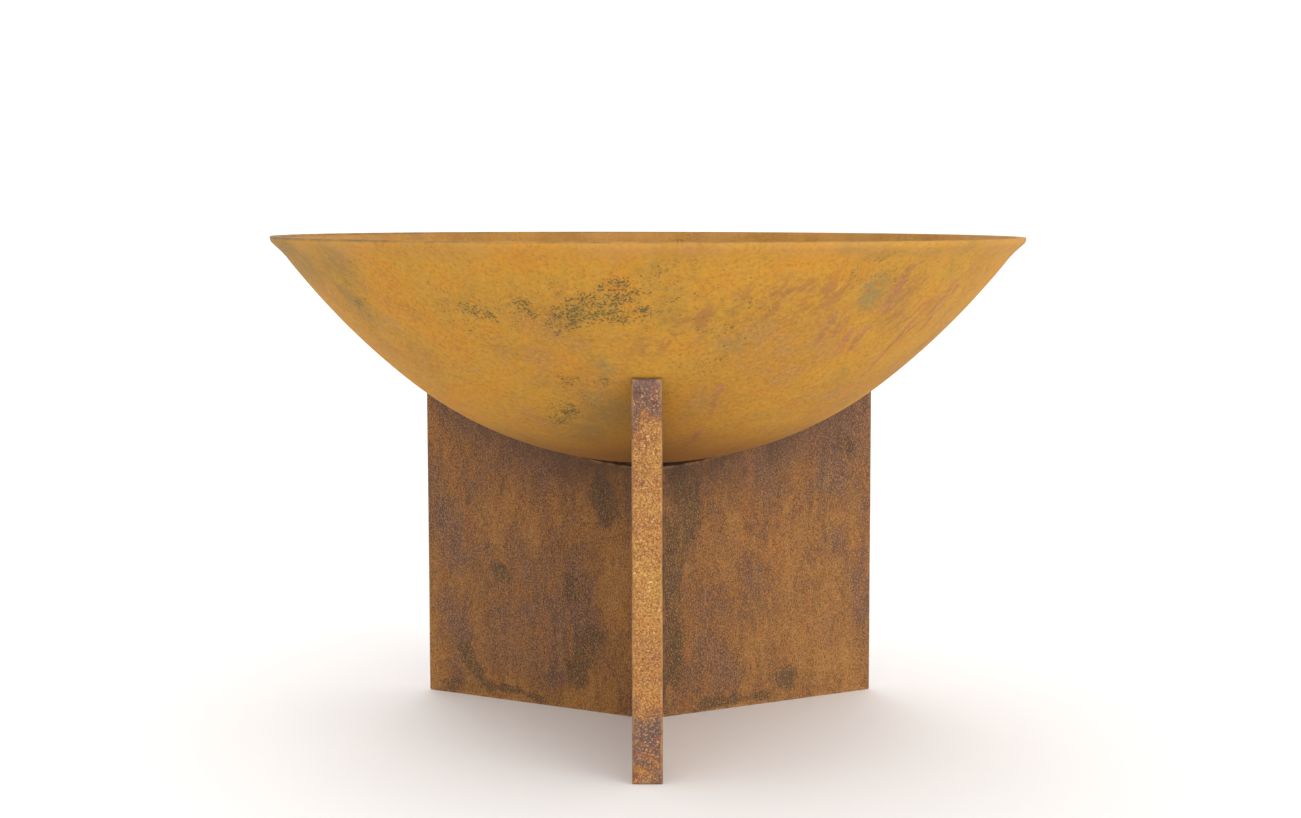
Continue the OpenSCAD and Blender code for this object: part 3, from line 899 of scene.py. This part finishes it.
def grate_welds():
    """Fillet beads on both sides of each bar where it crosses the hoop or a cross bar, and round the handles' feet."""
    parts = []
    hoop_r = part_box("grate_ring")[1].x - BAR / 2
    cross_y = abs(sum(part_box(CROSS_BARS[0])[k].y for k in (0, 1)) / 2)
    for seed, node in enumerate(BAR_NAMES):
        low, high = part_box(node)
        x = (low.x + high.x) / 2
        ring_y = math.sqrt(hoop_r ** 2 - x * x)
        for place, y in enumerate((-ring_y, -cross_y, cross_y, ring_y)):
            for side in (-1, 1):
                edge_x = x + side * (BAR / 2 + 0.6 * MM)
                line = [(edge_x, y + d, low.z + 0.9 * MM) for d in spread(-3.6 * MM, 3.6 * MM, 7)]
                parts.append(weld(line, 2.0 * MM, seed + 0.3 * place + side))
    for seed, node in enumerate(HANDLES):
        low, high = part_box(node)
        x, leg_y = (low.x + high.x) / 2, high.y - ROD_R
        for side in (-1, 1):
            circle = []
            for a in spread(0, 2 * math.pi, 18):
                circle.append((x + ROD_R * math.cos(a), side * leg_y + ROD_R * math.sin(a), low.z + 0.5 * MM))
            parts.append(weld(circle, 1.4 * MM, 20.0 + seed + side))
    points, faces = merged(parts)
    grate_piece("grate_welds", points, faces, WELD_RUST)


bowl()
for blade_name, blade_azimuth in BLADES.items():
    blade(blade_name, blade_azimuth)
base_welds()
grate_bars()
grate_hoop()
for handle_seed, handle in enumerate(HANDLES):
    grate_handle(handle, 40.0 + handle_seed)
grate_welds()

CAD_KEPT = ["hub_tube", "hub_cap"] + [f"{kind}_{name}" for kind in ("saddle_strip", "base_strip") for name in BLADES]
for node in CAD_KEPT:
    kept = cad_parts[node]
    kept.data.materials.clear()
    kept.data.materials.append(SHEET_RUST)

# ---------------------------------------------------------------------------
# Camera, light and floor
# ---------------------------------------------------------------------------

CAMERA_AT = (0.0122, -2.323, 0.555)
PITCH, YAW, ROLL = math.radians(5.358), math.radians(0.245), math.radians(-0.1)
SENSOR_WIDTH, FOCAL_LENGTH = 36.0, 59.73  # in millimetres
FLOOR_HALF = 80.0

camera = bpy.data.objects.new("camera", bpy.data.cameras.new("camera"))
camera.data.sensor_width = SENSOR_WIDTH
camera.data.lens = FOCAL_LENGTH
camera.matrix_world = (
    Matrix.Translation(CAMERA_AT)
    @ Matrix.Rotation(YAW, 4, "Z")
    @ Matrix.Rotation(math.pi / 2 - PITCH, 4, "X")
    @ Matrix.Rotation(ROLL, 4, "Z")
)
bpy.context.scene.collection.objects.link(camera)
bpy.context.scene.camera = camera


def sun(name, azimuth, elevation, strength, softness):
    """A soft light from far off, at an azimuth round from the front towards +X and an elevation, in degrees."""
    light = bpy.data.objects.new(name, bpy.data.lights.new(name, "SUN"))
    light.data.energy = strength
    light.data.angle = math.radians(softness)
    a, e = math.radians(azimuth), math.radians(elevation)
    towards = Vector((math.sin(a) * math.cos(e), -math.cos(a) * math.cos(e), math.sin(e)))
    light.rotation_euler = towards.to_track_quat("Z", "Y").to_euler()
    bpy.context.scene.collection.objects.link(light)


sun("key", 44, 8, 1.42, 50)
sun("fill", -60, 10, 0.05, 60)
sun("back", 190, 30, 0.7, 50)

world = bpy.data.worlds.new("studio")
world.use_nodes = True
world.node_tree.nodes["Background"].inputs["Color"].default_value = (1, 1, 1, 1)
world.node_tree.nodes["Background"].inputs["Strength"].default_value = 1.1
bpy.context.scene.world = world
bpy.context.scene.view_settings.view_transform = "Standard"

floor_mesh = bpy.data.meshes.new("floor")
floor_mesh.from_pydata([(-FLOOR_HALF, -FLOOR_HALF, 0), (FLOOR_HALF, -FLOOR_HALF, 0),
                        (FLOOR_HALF, FLOOR_HALF, 0), (-FLOOR_HALF, FLOOR_HALF, 0)], [], [(0, 1, 2, 3)])
floor = bpy.data.objects.new("floor", floor_mesh)
bpy.context.scene.collection.objects.link(floor)
paper = bpy.data.materials.new("floor_paper")
paper.use_nodes = True
paper.node_tree.nodes["Principled BSDF"].inputs["Base Color"].default_value = (0.9, 0.9, 0.9, 1)
paper.node_tree.nodes["Principled BSDF"].inputs["Roughness"].default_value = 0.9
floor_mesh.materials.append(paper)
